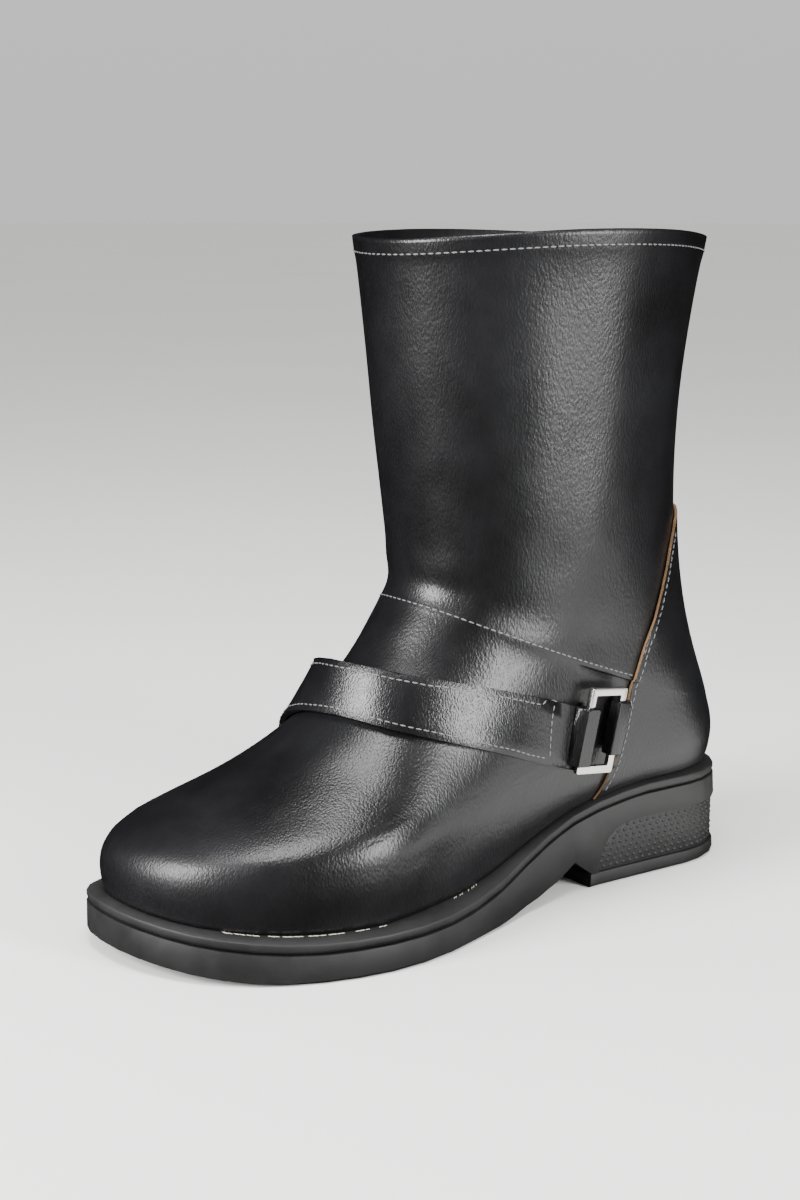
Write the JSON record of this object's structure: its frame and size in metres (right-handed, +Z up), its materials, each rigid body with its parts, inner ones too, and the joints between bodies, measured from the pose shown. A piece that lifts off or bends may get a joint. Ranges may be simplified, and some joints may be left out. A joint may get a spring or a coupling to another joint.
{
  "type": "boot",
  "caption": "Left boot with a round toe, low block heel, strap over the vamp held by rings, counter and a zip up the back of the shaft.",
  "frame": {"origin": "on the floor under the middle of the bounding box", "axes": "+X runs from the heel to the toe, +Y to the outer side of the left foot, +Z up"},
  "size_m": [0.279, 0.1146, 0.2568],
  "materials": {
    "black_leather": "semi gloss pebble grain",
    "sole_rubber": "matt",
    "tan_lining": "matt",
    "zip_tape": "matt",
    "polished_metal": "polished",
    "black_metal": "semi gloss"
  },
  "bodies": {
    "boot": {"outsole": "sole_rubber", "midsole": "sole_rubber", "heel": "sole_rubber", "heel_tread": "sole_rubber", "upper": "black_leather", "heel_counter": "black_leather", "strap": "black_leather", "outer_keeper": "black_leather", "inner_keeper": "black_leather", "insole": "tan_lining", "outer_ring": "polished_metal", "inner_ring": "polished_metal", "zip_slider": "polished_metal", "zip_chain": "zip_tape"},
    "pull": {"zip_pull": "black_metal"}
  },
  "joints": [
    {"name": "pull_swing", "type": "hinge", "parent": "boot", "child": "pull", "pos_m": [-0.1233, 0, 0.23584], "axis": [0, 1, 0], "range_deg": [-10, 150]}
  ]
}
